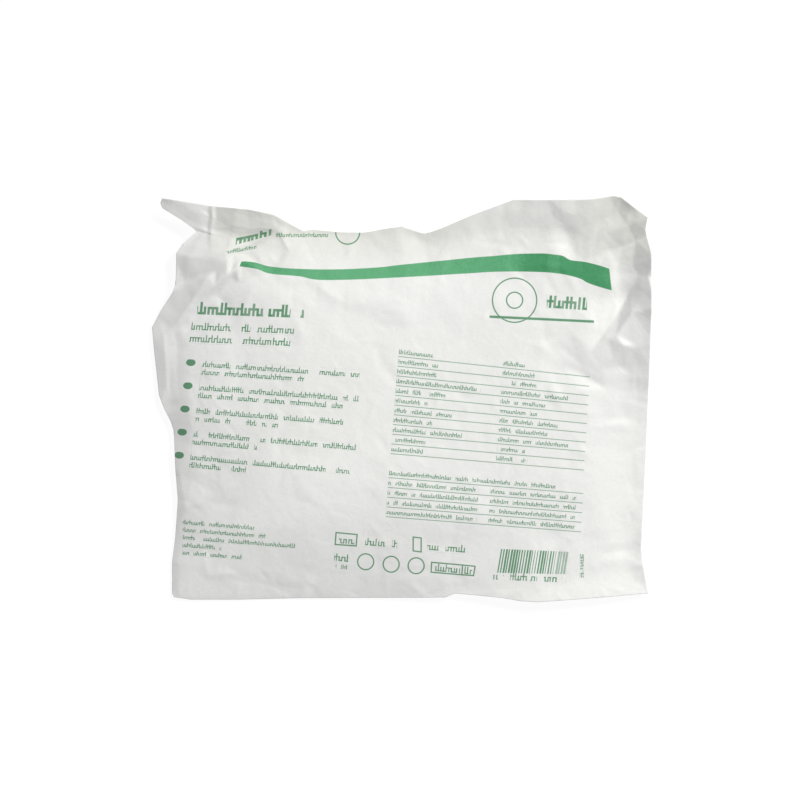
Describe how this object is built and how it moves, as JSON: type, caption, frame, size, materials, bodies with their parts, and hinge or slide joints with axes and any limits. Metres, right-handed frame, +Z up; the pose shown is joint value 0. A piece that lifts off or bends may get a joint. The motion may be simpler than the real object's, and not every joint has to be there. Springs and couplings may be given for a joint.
{
  "type": "sealed urine drainage bag pouch",
  "caption": "Flat paper pouch, heat-sealed all round over a folded urine drainage bag and tube, crumpled, with a low mound, one raised corner and a printed front.",
  "frame": {"origin": "on the flat spot that the pouch lies on, below the middle of its plan", "axes": "+X to the right of the print along the long side, +Y to the head of the print, +Z up out of the printed web"},
  "size_m": [0.2342, 0.1901, 0.0399],
  "materials": {
    "paper": "matt white medical paper, crumpled, with green print on the front web"
  },
  "bodies": {
    "root": {"sealed_pouch": "paper"}
  },
  "joints": []
}
